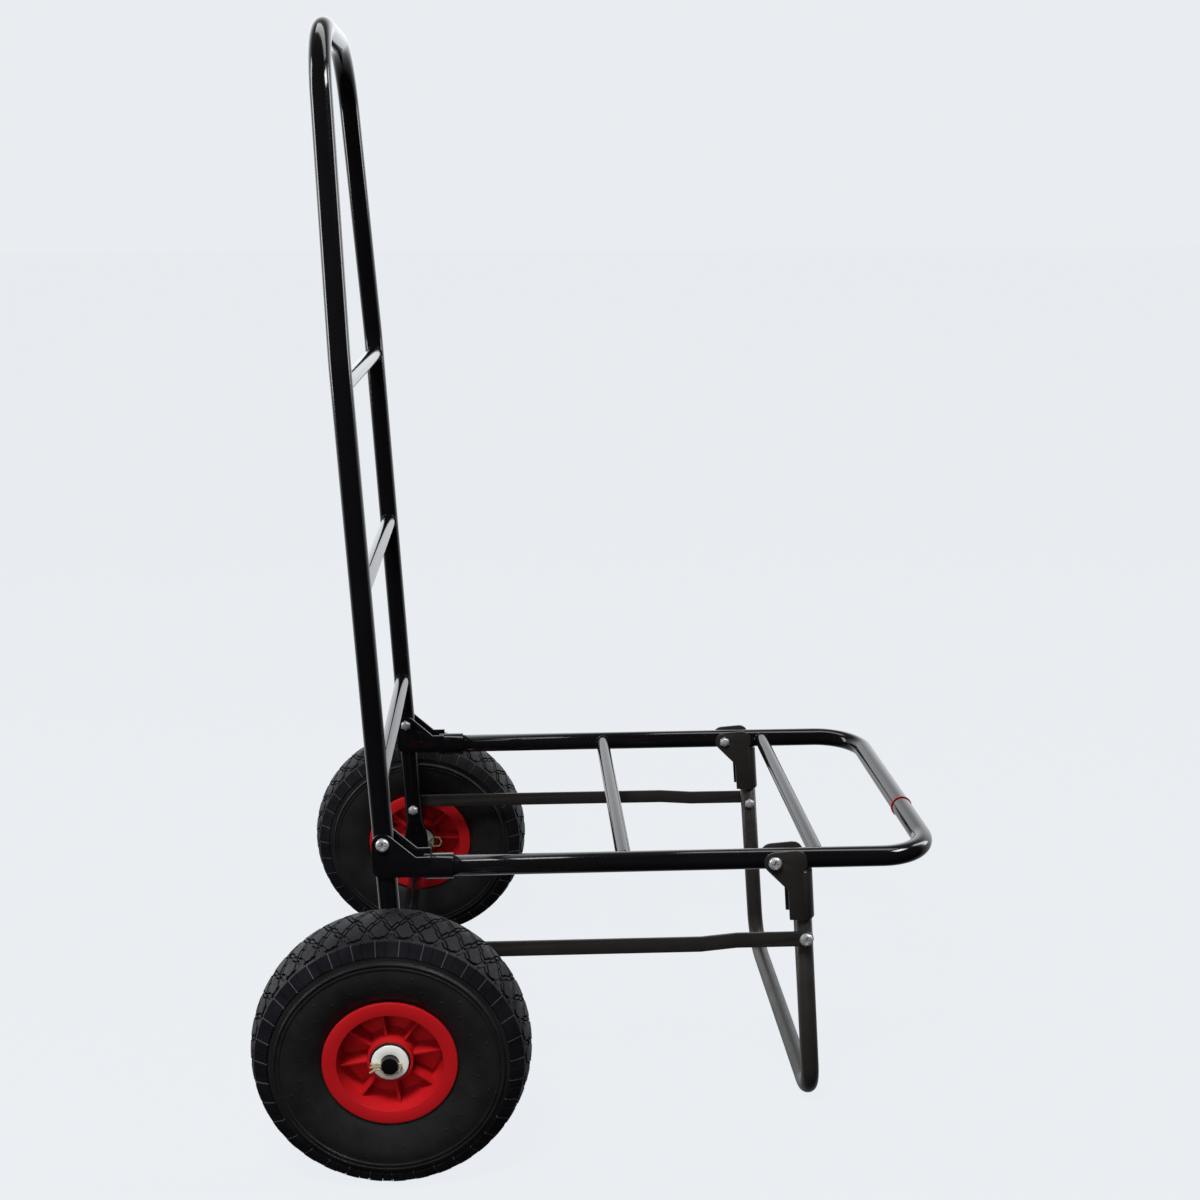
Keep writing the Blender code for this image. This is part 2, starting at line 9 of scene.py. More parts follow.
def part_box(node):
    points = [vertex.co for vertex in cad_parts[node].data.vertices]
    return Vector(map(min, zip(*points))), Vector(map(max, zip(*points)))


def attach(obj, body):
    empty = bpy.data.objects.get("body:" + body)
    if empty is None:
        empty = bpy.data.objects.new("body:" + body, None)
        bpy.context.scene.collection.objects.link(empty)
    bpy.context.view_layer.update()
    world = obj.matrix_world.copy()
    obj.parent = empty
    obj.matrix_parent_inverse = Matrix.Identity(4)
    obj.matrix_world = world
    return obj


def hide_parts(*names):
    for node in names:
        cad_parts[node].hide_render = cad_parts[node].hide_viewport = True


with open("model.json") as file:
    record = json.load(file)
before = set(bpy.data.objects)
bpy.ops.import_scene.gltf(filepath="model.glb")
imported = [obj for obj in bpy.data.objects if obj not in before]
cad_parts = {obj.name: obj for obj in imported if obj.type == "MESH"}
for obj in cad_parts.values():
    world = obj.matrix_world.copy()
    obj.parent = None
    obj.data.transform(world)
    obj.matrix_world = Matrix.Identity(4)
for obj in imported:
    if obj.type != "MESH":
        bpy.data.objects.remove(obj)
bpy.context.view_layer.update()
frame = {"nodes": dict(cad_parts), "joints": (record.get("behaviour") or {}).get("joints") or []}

for startupName in ("Cube", "Light", "Camera"):
    startupObject = bpy.data.objects.get(startupName)
    if startupObject and startupObject.name not in frame["nodes"]:
        bpy.data.objects.remove(startupObject)

# Where things are, read from the frame
jointPlaces = {joint["name"]: Vector(joint["pos_m"]) for joint in frame["joints"]}
platformPivot = jointPlaces["platform_fold"]
legPivot = jointPlaces["leg_fold"]
linkPivot = jointPlaces["left_link_swing"]
wheelCentre = jointPlaces["left_wheel_spin"]
sideHalf = linkPivot.y
trackHalf = wheelCentre.y
axlePlace = Vector((wheelCentre.x, 0, wheelCentre.z))
handleLean = math.atan2(axlePlace.x - platformPivot.x, platformPivot.z - axlePlace.z)
sides = (("left", 1), ("right", -1))

sameSpot = 0.000001  # vertices nearer than a thousandth of a millimetre are one
alongY = Matrix.Rotation(math.pi / 2, 4, "X")  # lays a shape made along Z along Y
halfTurn = Matrix.Rotation(math.pi, 4, "Z")  # faces a shape made for the left side to the right


def colour(hexValue):  # an sRGB hex value turned to linear
    parts = [int(hexValue[i:i + 2], 16) / 255 for i in (0, 2, 4)]
    linear = [p / 12.92 if p <= 0.04045 else ((p + 0.055) / 1.055) ** 2.4 for p in parts]
    return (*linear, 1)


def addNode(tree, kind, inputs=None, **settings):  # inputs are values or sockets, by name or number
    node = tree.nodes.new(kind)
    for key, value in settings.items():
        setattr(node, key, value)
    for key, value in (inputs or {}).items():
        if isinstance(value, bpy.types.NodeSocket):
            tree.links.new(value, node.inputs[key])
        else:
            node.inputs[key].default_value = value
    return node


def startMaterial(name, finish):  # the shader's own numbers, before any pattern
    material = bpy.data.materials.new(name)
    material.use_nodes = True
    tree = material.node_tree
    shader = tree.nodes["Principled BSDF"]
    shader.inputs["Base Color"].default_value = colour(finish["base"])
    shader.inputs["Roughness"].default_value = finish["roughness"]
    shader.inputs["Metallic"].default_value = finish.get("metallic", 0)
    shader.inputs["IOR"].default_value = finish.get("ior", 1.5)
    shader.inputs["Specular IOR Level"].default_value = finish.get("specular", 0.5)
    shader.inputs["Coat Weight"].default_value = finish.get("coat", 0)
    shader.inputs["Coat Roughness"].default_value = finish.get("coatRoughness", 0.03)
    material.diffuse_color = colour(finish["base"])
    place = addNode(tree, "ShaderNodeTexCoord").outputs["Object"]
    return material, tree, shader, place


def noise(tree, place, grain, detail=2.0, rough=0.5):  # grain is the size of one speck, in metres
    made = addNode(tree, "ShaderNodeTexNoise", {"Vector": place, "Scale": 0.5 / grain,
                                                "Detail": detail, "Roughness": rough})
    return made.outputs["Fac"]


def spread(tree, fac, low, high, outLow, outHigh):
    made = addNode(tree, "ShaderNodeMapRange", {"Value": fac, "From Min": low, "From Max": high,
                                                "To Min": outLow, "To Max": outHigh})
    return made.outputs["Result"]


def tintBy(tree, shader, fac, finish):  # the base colour wanders between the finish's two tints
    first, second = finish["tints"]
    tint = addNode(tree, "ShaderNodeMix", {"Factor": fac, 6: colour(first), 7: colour(second)},
                   data_type="RGBA")
    tree.links.new(tint.outputs[2], shader.inputs["Base Color"])


def glossBy(tree, shader, fac, finish):  # and its roughness within the finish's range
    low, high = finish.get("contrast", (0.3, 0.7))
    gloss = spread(tree, fac, low, high, *finish["roughRange"])
    tree.links.new(gloss, shader.inputs["Roughness"])


def bump(tree, height, depth, strength=1.0, under=None):
    inputs = {"Height": height, "Distance": depth, "Strength": strength}
    if under:
        inputs["Normal"] = under
    return addNode(tree, "ShaderNodeBump", inputs).outputs["Normal"]


# Glossy stoved enamel on drawn steel tube: deep black, long soft highlights, faint orange peel
enamel = {"base": "0a0a0c", "tints": ("070708", "0f0f12"), "roughness": 0.12, "roughRange": (0.09, 0.16),
          "ior": 1.5, "coat": 0.2, "coatRoughness": 0.05, "cloud": 0.05, "peel": 0.0016,
          "peelDepth": 0.000012}


def makeBlackEnamel():
    material, tree, shader, place = startMaterial("blackEnamel", enamel)
    tintBy(tree, shader, noise(tree, place, enamel["cloud"], 3), enamel)
    glossBy(tree, shader, noise(tree, place, enamel["peel"] / 2, 3), enamel)
    peel = bump(tree, noise(tree, place, enamel["peel"], 1), enamel["peelDepth"])
    tree.links.new(peel, shader.inputs["Normal"])
    return material


# Powder coat on pressed sheet steel: black, half gloss, slightly pebbled
powderCoat = {"base": "262422", "tints": ("22201f", "2c2a28"), "roughness": 0.36, "roughRange": (0.3, 0.44),
              "ior": 1.48, "cloud": 0.012, "pebble": 0.0009, "pebbleDepth": 0.00002}


def makeBracketCoat():
    material, tree, shader, place = startMaterial("blackPowderCoat", powderCoat)
    cloud = noise(tree, place, powderCoat["cloud"], 3)
    tintBy(tree, shader, cloud, powderCoat)
    glossBy(tree, shader, cloud, powderCoat)
    pebbles = bump(tree, noise(tree, place, powderCoat["pebble"], 2), powderCoat["pebbleDepth"])
    tree.links.new(pebbles, shader.inputs["Normal"])
    return material


# Zinc plating, passivated: bright grey with cloudy patches and fine handling marks
zinc = {"base": "dfe1e2", "tints": ("cdd0d3", "f0f1f2"), "roughness": 0.3, "roughRange": (0.26, 0.42),
        "metallic": 0.7, "contrast": (0.25, 0.75), "cloud": 0.002, "grit": 0.0004, "gritDepth": 0.00001}

# Stamped washer, zinc plated and dull: off-white where the light is broad
washerZinc = {**zinc, "base": "f4f4ee", "tints": ("eeeee8", "fbfbf6"), "roughness": 0.42,
              "roughRange": (0.36, 0.5), "metallic": 0.15, "cloud": 0.004, "grit": 0.0005}

# Yellow-passivated spring wire of the cotter pins
pinWire = {**zinc, "base": "d8cba4", "tints": ("c9b98c", "e6dcc0"), "roughRange": (0.2, 0.34),
           "metallic": 0.5, "grit": 0.0003}


def makeZinc(name, finish):
    material, tree, shader, place = startMaterial(name, finish)
    cloud = noise(tree, place, finish["cloud"], 4, 0.6)
    tintBy(tree, shader, cloud, finish)
    glossBy(tree, shader, cloud, finish)
    grit = bump(tree, noise(tree, place, finish["grit"], 2), finish["gritDepth"])
    tree.links.new(grit, shader.inputs["Normal"])
    return material


# Vulcanised tyre rubber: matt, with mould grain, worn patches and a little dust
tyreRubber = {"base": "17181a", "tints": ("181819", "222223"), "roughness": 0.6, "roughRange": (0.46, 0.64),
              "ior": 1.5, "dust": 0.014, "patch": 0.006, "patchDepth": 0.0002, "grain": 0.0005,
              "grainDepth": 0.00006}

# The tread is darker, and its faint blue is a painted reflection of the sky; the thin flash in its slits is
# pale
treadRubberPaintedSky = {**tyreRubber, "tints": ("0c0c0f", "17171d"), "specular": 0.28}
mouldFlash = {**tyreRubber, "tints": ("3a3a3e", "4e4e53"), "roughRange": (0.5, 0.68)}


def makeTyreRubber(name, finish):
    material, tree, shader, place = startMaterial(name, finish)
    dust = noise(tree, place, finish["dust"], 5, 0.62)
    tintBy(tree, shader, spread(tree, dust, 0.35, 0.75, 0, 1), finish)
    patches = noise(tree, place, finish["patch"], 4, 0.6)
    glossBy(tree, shader, patches, finish)
    grain = bump(tree, noise(tree, place, finish["grain"], 2), finish["grainDepth"], 0.6)
    marks = bump(tree, patches, finish["patchDepth"], 0.5, grain)
    tree.links.new(marks, shader.inputs["Normal"])
    return material


# Injection-moulded polypropylene rim: strong red, half gloss, faint flow marks
rimPlastic = {"base": "ae181d", "tints": ("a61419", "b61c21"), "roughness": 0.28, "roughRange": (0.27, 0.38),
              "ior": 1.49, "flow": 0.02, "texture": 0.0007, "textureDepth": 0.00001}


def makeRimPlastic():
    material, tree, shader, place = startMaterial("rimPlastic", rimPlastic)
    flow = noise(tree, place, rimPlastic["flow"], 3)
    tintBy(tree, shader, flow, rimPlastic)
    glossBy(tree, shader, flow, rimPlastic)
    texture = bump(tree, noise(tree, place, rimPlastic["texture"], 2), rimPlastic["textureDepth"])
    tree.links.new(texture, shader.inputs["Normal"])
    return material


# Smooth butyl of the inner tubes and valve stems, dark grey nylon of the bearings, latex of the band
butylRubber = {"base": "1b1b1c", "tints": ("171718", "202021"), "roughness": 0.5, "ior": 1.5,
               "grain": 0.0008, "grainDepth": 0.00002}
bearingNylon = {"base": "1c1c1d", "tints": ("171718", "222224"), "roughness": 0.45, "ior": 1.53,
                "grain": 0.001, "grainDepth": 0.00002}
bandLatex = {"base": "a8101a", "tints": ("980d16", "b8131e"), "roughness": 0.5, "ior": 1.52,
             "grain": 0.0006, "grainDepth": 0.00002}


def makeFineGrained(name, finish):  # nearly one colour, with a fine grain
    material, tree, shader, place = startMaterial(name, finish)
    tintBy(tree, shader, noise(tree, place, finish["grain"] * 6, 3), finish)
    grain = bump(tree, noise(tree, place, finish["grain"], 2), finish["grainDepth"])
    tree.links.new(grain, shader.inputs["Normal"])
    return material


blackEnamel = makeBlackEnamel()
bracketCoat = makeBracketCoat()
zincPlate = makeZinc("zincPlate", zinc)
washerPlate = makeZinc("washerZinc", washerZinc)
pinPlate = makeZinc("pinWire", pinWire)
tyreBlack = makeTyreRubber("tyreRubber", tyreRubber)
treadBlackPaintedSky = makeTyreRubber("treadRubberPaintedSky", treadRubberPaintedSky)
flashGrey = makeTyreRubber("mouldFlash", mouldFlash)
butylBlack = makeFineGrained("butylRubber", butylRubber)
rimRed = makeRimPlastic()
bearingGrey = makeFineGrained("bearingNylon", bearingNylon)
bandRed = makeFineGrained("bandLatex", bandLatex)
print("materials made")


def finishPiece(name, shape, material, body, nodes, smoothAngle=35):
    bmesh.ops.remove_doubles(shape, verts=shape.verts, dist=sameSpot)
    mesh = bpy.data.meshes.new(name)
    shape.to_mesh(mesh)
    shape.free()
    mesh.materials.append(material)
    for face in mesh.polygons:
        face.use_smooth = True
    mesh.set_sharp_from_angle(angle=math.radians(smoothAngle))
    piece = bpy.data.objects.new(name, mesh)
    bpy.context.scene.collection.objects.link(piece)
    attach(piece, body)
    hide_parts(*nodes)
    return piece


def addWall(piece, thickness):  # the tube's wall, inwards from its outer face
    wall = piece.modifiers.new("wall", "SOLIDIFY")
    wall.thickness = thickness
    wall.offset = -1


def onlyEdges(geometry):
    return [item for item in geometry if isinstance(item, bmesh.types.BMEdge)]


def onlyVerts(geometry):
    return [item for item in geometry if isinstance(item, bmesh.types.BMVert)]


def pushRing(shape, ring, step):  # draws the ring of edges out by a step
    drawn = bmesh.ops.extrude_edge_only(shape, edges=ring)["geom"]
    moved = set(onlyVerts(drawn))
    bmesh.ops.translate(shape, verts=list(moved), vec=step)
    return [edge for edge in onlyEdges(drawn) if moved.issuperset(edge.verts)]


def bentTube(corners, bends, radius, around, stepAngle):  # a bend radius for each inner corner
    shape = bmesh.new()
    corners = [Vector(corner) for corner in corners]
    heading = (corners[1] - corners[0]).normalized()
    turn = heading.to_track_quat("Z", "X").to_matrix().to_4x4()
    ringVerts = bmesh.ops.create_circle(shape, segments=around, radius=radius,
                                        matrix=Matrix.Translation(corners[0]) @ turn)["verts"]
    ring = list({edge for vert in ringVerts for edge in vert.link_edges})
    at = corners[0]
    for corner, after, bend in zip(corners[1:], corners[2:], bends):
        inward, onward = (corner - at).normalized(), (after - corner).normalized()
        angle = inward.angle(onward)
        reach = bend * math.tan(angle / 2)
        ring = pushRing(shape, ring, corner - inward * reach - at)
        at = corner + onward * reach
        if angle < 0.001:
            continue
        axis = inward.cross(onward).normalized()
        centre = corner - inward * reach + axis.cross(inward) * bend
        steps = max(2, math.ceil(math.degrees(angle) / stepAngle))
        spun = bmesh.ops.spin(shape, geom=ring, cent=centre, axis=axis, angle=angle, steps=steps)
        ring = onlyEdges(spun["geom_last"])
    pushRing(shape, ring, corners[-1] - at)
    bmesh.ops.remove_doubles(shape, verts=shape.verts, dist=sameSpot / 10)
    bmesh.ops.recalc_face_normals(shape, faces=shape.faces)
    return shape


def spunShape(profile, around, closed=True):  # points (radius, distance along Y), spun about Y
    shape = bmesh.new()
    verts = [shape.verts.new((radius, along, 0)) for radius, along in profile]
    edges = [shape.edges.new(pair) for pair in zip(verts, verts[1:])]
    if closed:
        edges.append(shape.edges.new((verts[-1], verts[0])))
    bmesh.ops.spin(shape, geom=verts + edges, cent=(0, 0, 0), axis=(0, 1, 0), angle=math.tau,
                   steps=around, use_merge=True)
    bmesh.ops.remove_doubles(shape, verts=shape.verts, dist=sameSpot)
    bmesh.ops.recalc_face_normals(shape, faces=shape.faces)
    return shape


def hoopShape(radius, wire, around, steps):  # a ring of round wire about Y
    shape = bmesh.new()
    ring = bmesh.ops.create_circle(shape, segments=around, radius=wire,
                                   matrix=Matrix.Translation((radius, 0, 0)))["verts"]
    edges = list({edge for vert in ring for edge in vert.link_edges})
    bmesh.ops.spin(shape, geom=list(ring) + edges, cent=(0, 0, 0), axis=(0, 1, 0), angle=math.tau,
                   steps=steps, use_merge=True)
    bmesh.ops.remove_doubles(shape, verts=shape.verts, dist=sameSpot)
    return shape


def softenEdges(shape, width, segments=2, sharpest=30):  # rounds every edge sharper than an angle
    hard = [edge for edge in shape.edges if len(edge.link_faces) == 2
            and edge.calc_face_angle(0) > math.radians(sharpest)]
    bmesh.ops.bevel(shape, geom=hard, offset=width, segments=segments, profile=0.5,
                    affect="EDGES", material=-1, clamp_overlap=True)
    return shape


def placeShape(shape, place, turn=None):
    bmesh.ops.transform(shape, verts=shape.verts, matrix=Matrix.Translation(place) @ (turn or Matrix()))
    return shape


def facing(sign):  # a shape made for the left side, turned for a side
    return Matrix() if sign > 0 else halfTurn


def joinShapes(target, source):
    holder = bpy.data.meshes.new("holder")
    source.to_mesh(holder)
    source.free()
    target.from_mesh(holder)
    bpy.data.meshes.remove(holder)
    return target


# Camera, at the viewing angle the truck is shown from
view = {"place": Vector((-0.0851, -1.5238, 0.8741)), "yaw": 0.0419, "pitch": 0.2670, "roll": -0.0052,
        "lens": 45.52, "shiftX": 0.0225, "shiftY": 0.0261, "nearest": 0.05}


def makeCamera():
    camera = bpy.data.objects.new("camera", bpy.data.cameras.new("camera"))
    bpy.context.scene.collection.objects.link(camera)
    camera.data.lens = view["lens"]
    camera.data.shift_x = view["shiftX"]
    camera.data.shift_y = view["shiftY"]
    camera.data.clip_start = view["nearest"]
    yaw, pitch = view["yaw"], view["pitch"]
    forward = Vector((math.sin(yaw) * math.cos(pitch), math.cos(yaw) * math.cos(pitch),
                      -math.sin(pitch)))
    level = Vector((math.cos(yaw), -math.sin(yaw), 0))
    upright = level.cross(forward)
    right = math.cos(view["roll"]) * level + math.sin(view["roll"]) * upright
    up = right.cross(forward)
    turn = Matrix((right, up, -forward)).transposed().to_4x4()
    camera.matrix_world = Matrix.Translation(view["place"]) @ turn
    bpy.context.scene.camera = camera


# Pale floor, a pale room that is darker towards -Y, long soft boxes for the gloss, and soft fills
# Each light: place, target, width, height, power, whether gloss shows it, whether dull surfaces do
studio = {"paper": "e9edf1", "floorGlow": 0.98, "floorShade": 0.022, "floorReach": 40.0,
          "room": "f2f5f9", "dark": 0.02, "bright": 1.6, "darkTo": 0.05, "brightFrom": 0.8,
          "low": 0.3, "lowTo": -0.45, "levelFrom": 0.1, "levelTo": 0.35, "highFrom": 0.65, "high": 0.12,
          "lights": (("overheadBox", (0.2, 0.5, 2.6), (0.0, 0.1, 0.2), 2.4, 0.7, 16, True, False),
                     ("leftBox", (-2.4, 0.3, 1.3), (-0.1, 0.0, 0.5), 0.5, 2.0, 22, True, True),
                     ("rightBox", (2.6, 0.9, 1.5), (0.1, 0.0, 0.4), 0.6, 2.0, 22, True, True),
                     ("bendBox", (1.6, -0.6, 2.3), (0.3, 0.0, 0.3), 0.9, 0.5, 26, True, False),
                     ("steepFill", (-0.6, -1.6, 2.9), (-0.1, 0.0, 0.2), 1.0, 0.7, 110, False, True),
                     ("frontFill", (-0.7, -3.0, 1.3), (0.0, 0.0, 0.3), 1.6, 1.2, 28, False, True))}


def makeFloor():
    sheet = bmesh.new()
    bmesh.ops.create_grid(sheet, x_segments=1, y_segments=1, size=studio["floorReach"])
    mesh = bpy.data.meshes.new("floor")
    sheet.to_mesh(mesh)
    sheet.free()
    floor = bpy.data.objects.new("floor", mesh)
    bpy.context.scene.collection.objects.link(floor)
    material = bpy.data.materials.new("palePaper")
    material.use_nodes = True
    tree = material.node_tree
    tree.nodes.clear()
    glow = addNode(tree, "ShaderNodeEmission",
                   {"Color": colour(studio["paper"]), "Strength": studio["floorGlow"]})
    shade = addNode(tree, "ShaderNodeBsdfDiffuse", {"Color": (*[studio["floorShade"]] * 3, 1)})
    both = addNode(tree, "ShaderNodeAddShader", {0: glow.outputs[0], 1: shade.outputs[0]})
    addNode(tree, "ShaderNodeOutputMaterial", {"Surface": both.outputs[0]})
    mesh.materials.append(material)
    floor.visible_glossy = False
    floor.visible_diffuse = False


def makeLights():
    for name, place, target, width, height, power, inGloss, onDull in studio["lights"]:
        lamp = bpy.data.lights.new(name, "AREA")
        lamp.shape = "RECTANGLE"
        lamp.size, lamp.size_y, lamp.energy = width, height, power
        box = bpy.data.objects.new(name, lamp)
        box.location = place
        box.visible_glossy, box.visible_diffuse = inGloss, onDull
        box.rotation_euler = (Vector(target) - Vector(place)).to_track_quat("-Z", "Y").to_euler()
        bpy.context.scene.collection.objects.link(box)


def makeRoom():  # the camera sees plain paper, and the truck sees a room with a bright far side
    world = bpy.data.worlds.new("studio")
    bpy.context.scene.world = world
    world.use_nodes = True
    tree = world.node_tree
    tree.nodes.clear()
    direction = addNode(tree, "ShaderNodeTexCoord").outputs["Generated"]
    parts = addNode(tree, "ShaderNodeSeparateXYZ", {0: direction})
    far = spread(tree, parts.outputs["Y"], studio["darkTo"], studio["brightFrom"],
                 studio["dark"], studio["bright"])
    above = spread(tree, parts.outputs["Z"], studio["lowTo"], studio["levelFrom"], studio["low"], 1)
    below = spread(tree, parts.outputs["Z"], studio["levelTo"], studio["highFrom"], 1, studio["high"])
    band = addNode(tree, "ShaderNodeMath", {0: above, 1: below}, operation="MULTIPLY").outputs[0]
    glow = addNode(tree, "ShaderNodeMath", {0: far, 1: band}, operation="MULTIPLY").outputs[0]
    room = addNode(tree, "ShaderNodeBackground", {"Color": colour(studio["room"]), "Strength": glow})
    paper = addNode(tree, "ShaderNodeBackground", {"Color": colour(studio["paper"]), "Strength": 1.0})
    seen = addNode(tree, "ShaderNodeLightPath").outputs["Is Camera Ray"]
    mixed = addNode(tree, "ShaderNodeMixShader", {0: seen, 1: room.outputs[0], 2: paper.outputs[0]})
    addNode(tree, "ShaderNodeOutputWorld", {"Surface": mixed.outputs[0]})
    bpy.context.scene.view_settings.view_transform = "Standard"


makeCamera()
makeFloor()
makeLights()
makeRoom()
print("camera and studio made")

# Handle: one bent tube with three crossbars, leaning back about the axle
handle = {"tubeRadius": 0.010, "wall": 0.0015, "topBend": 0.079, "narrowBend": 0.100, "gripHalf": 0.113,
          "narrowHeight": 0.752, "endDrop": 0.018, "pressStart": 0.052, "pressEnd": 0.026,
          "pressWide": 0.0135, "pressThin": 0.0042, "pressSteps": 8, "around": 40, "stepAngle": 2.5}


def uprightFrame():  # from the upright's own axes to the world
    return Matrix.Translation(axlePlace) @ Matrix.Rotation(-handleLean, 4, "Y")


def upAlong(height):  # distance along the upright for a height above the floor
    return (height - axlePlace.z) / math.cos(handleLean)


def pressEnds(shape):  # flattens the uprights' lower ends where the axle goes through
    wide = handle["pressWide"] / handle["tubeRadius"] - 1
    thin = handle["pressThin"] / handle["tubeRadius"] - 1
    for vert in shape.verts:
        share = (handle["pressStart"] - vert.co.z) / (handle["pressStart"] - handle["pressEnd"])
        share = min(max(share, 0), 1)
        share = share * share * (3 - 2 * share)
        side = math.copysign(sideHalf, vert.co.y)
        vert.co.x *= 1 + share * wide
        vert.co.y = side + (vert.co.y - side) * (1 + share * thin)


def makeHandleTube():
    top = upAlong(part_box("handle_tube")[1].z) - handle["tubeRadius"]
    narrow = upAlong(handle["narrowHeight"])
    pressLength = handle["pressStart"] - handle["pressEnd"]
    presses = [handle["pressEnd"] + pressLength * step / handle["pressSteps"]
               for step in range(handle["pressSteps"] + 1)]
    right = [(0, -sideHalf, -handle["endDrop"])] + [(0, -sideHalf, z) for z in presses]
    right += [(0, -sideHalf, narrow), (0, -handle["gripHalf"], top)]
    corners = right + [(x, -y, z) for x, y, z in reversed(right)]
    bends = [0] * len(presses) + [handle["narrowBend"], handle["topBend"]]
    shape = bentTube(corners, bends + bends[::-1], handle["tubeRadius"], handle["around"],
                     handle["stepAngle"])
    pressEnds(shape)
    placeShape(shape, (0, 0, 0), uprightFrame())
    tube = finishPiece("handleTube", shape, blackEnamel, "handle", ["handle_tube"])
    addWall(tube, handle["wall"])


# Crossbars of the handle and the platform, let into the side tubes and welded all round
crossbar = {"radius": 0.0075, "sideRadius": 0.010, "gap": 0.0006, "around": 32}
weld = {"bead": 0.0014, "ripples": 22, "ripple": 0.00022, "squash": 0.8, "around": 8, "steps": 66}


def tubeFace(offset):  # the side tube's face at a distance from its middle line
    return sideHalf - math.sqrt(crossbar["sideRadius"] ** 2 - offset ** 2)


def crossbarShape(across):  # along Y, its ends following the side tubes' curve
    shape = bmesh.new()
    bmesh.ops.create_cone(shape, cap_ends=False, segments=crossbar["around"], radius1=crossbar["radius"],
                          radius2=crossbar["radius"], depth=2 * sideHalf, matrix=alongY)
    for vert in shape.verts:
        vert.co.y = math.copysign(tubeFace(vert.co.dot(across)) + crossbar["gap"], vert.co.y)
    bmesh.ops.recalc_face_normals(shape, faces=shape.faces)
    return shape


def weldBead(across, sign):  # a rippled ring where a crossbar meets a side tube
    shape = hoopShape(crossbar["radius"], weld["bead"], weld["around"], weld["steps"])
    for vert in shape.verts:
        angle = math.atan2(vert.co.z, vert.co.x)
        vert.co.y *= weld["squash"]
        middle = Vector((math.cos(angle), 0, math.sin(angle))) * crossbar["radius"]
        outward = vert.co - middle
        vert.co += outward.normalized() * weld["ripple"] * math.sin(weld["ripples"] * angle)
        vert.co.y += sign * tubeFace(middle.dot(across))
    bmesh.ops.recalc_face_normals(shape, faces=shape.faces)
    return shape


def makeCrossbar(name, node, body, turn, across):
    low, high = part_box(node)
    bar = crossbarShape(across)
    for _, sign in sides:
        joinShapes(bar, weldBead(across, sign))
    placeShape(bar, ((low.x + high.x) / 2, 0, (low.z + high.z) / 2), turn)
    finishPiece(name, bar, blackEnamel, body, [node])


def makeHandle():
    makeHandleTube()
    lean = Matrix.Rotation(-handleLean, 4, "Y")
    for number in (1, 2, 3):
        makeCrossbar(f"handleCrossbar{number}", f"handle_crossbar_{number}", "handle", lean,
                     Vector((1, 0, 0)))


makeHandle()
print("handle made")

# Platform: a bent tube with two crossbars
platform = {"bend": 0.050, "tubeRadius": 0.010, "wall": 0.0015, "around": 40, "stepAngle": 4}


def makePlatform():
    low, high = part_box("platform_frame")
    height, front = (low.z + high.z) / 2, high.x - platform["tubeRadius"]
    corners = [(low.x, -sideHalf, height), (front, -sideHalf, height),
               (front, sideHalf, height), (low.x, sideHalf, height)]
    shape = bentTube(corners, [platform["bend"]] * 2, platform["tubeRadius"], platform["around"],
                     platform["stepAngle"])
    tube = finishPiece("platformTube", shape, blackEnamel, "platform", ["platform_frame"])
    addWall(tube, platform["wall"])
    for number in (1, 2):
        makeCrossbar(f"platformCrossbar{number}", f"platform_crossbar_{number}", "platform", Matrix(),
                     Vector((0, 0, 1)))


makePlatform()
print("platform made")

# Leg frame: a bent tube, raked forward, on two pressed channels
leg = {"tubeRadius": 0.009, "wall": 0.0015, "bend": 0.040, "rake": math.radians(4.5), "offset": 0.026,
       "topDrop": 0.013, "around": 40, "stepAngle": 4}


def makeLeg():
    turn = Matrix.Translation(legPivot) @ Matrix.Rotation(-leg["rake"], 4, "Y")
    drop = legPivot.z + leg["offset"] * math.sin(leg["rake"]) - leg["tubeRadius"]
    foot = drop / math.cos(leg["rake"])
    corners = [(leg["offset"], -sideHalf, -leg["topDrop"]), (leg["offset"], -sideHalf, -foot),
               (leg["offset"], sideHalf, -foot), (leg["offset"], sideHalf, -leg["topDrop"])]
    shape = bentTube(corners, [leg["bend"]] * 2, leg["tubeRadius"], leg["around"], leg["stepAngle"])
    placeShape(shape, (0, 0, 0), turn)
    tube = finishPiece("legTube", shape, bracketCoat, "leg", ["leg_frame"])
    addWall(tube, leg["wall"])


makeLeg()
print("leg frame made")


# Pressed brackets and flat link bars: the frame's own shapes with their edges rounded
pressed = {"bracketEdge": 0.0004, "barEdge": 0.0005, "flat": 2, "hard": 40}


def refinedCopy(name, node, material, body, width):
    shape = bmesh.new()
    shape.from_mesh(frame["nodes"][node].data)
    bmesh.ops.remove_doubles(shape, verts=shape.verts, dist=sameSpot * 10)
    bmesh.ops.dissolve_limit(shape, angle_limit=math.radians(pressed["flat"]), verts=shape.verts,
                             edges=shape.edges)
    softenEdges(shape, width, 2, pressed["hard"])
    finishPiece(name, shape, material, body, [node], pressed["hard"])


def makeSheetParts():
    for side, _ in sides:
        label = side.capitalize()
        refinedCopy(f"rearBracket{label}", f"rear_bracket_{side}", blackEnamel, "platform",
                    pressed["bracketEdge"])
        refinedCopy(f"legBracket{label}", f"leg_bracket_{side}", bracketCoat, "leg",
                    pressed["bracketEdge"])
        refinedCopy(f"linkBar{label}", f"link_bar_{side}", bracketCoat, f"{side}_link",
                    pressed["barEdge"])


makeSheetParts()
print("sheet parts made")

# Fasteners: pan-head bolts with a cross recess, domed nuts
head = {"radius": 0.0065, "height": 0.004, "flat": 0.0046, "shank": 0.003, "sunk": 0.0005,
        "curve": ((1, 0), (1, 0.2), (0.97, 0.5), (0.86, 0.82)),  # shares of the radius and height
        "armLong": 0.0037, "armWide": 0.0011, "recess": 0.0025, "recessTaper": 0.72}
nut = {"radius": 0.0060, "base": 0.0024, "edge": 0.0003, "dome": 0.004836, "height": 0.0047}


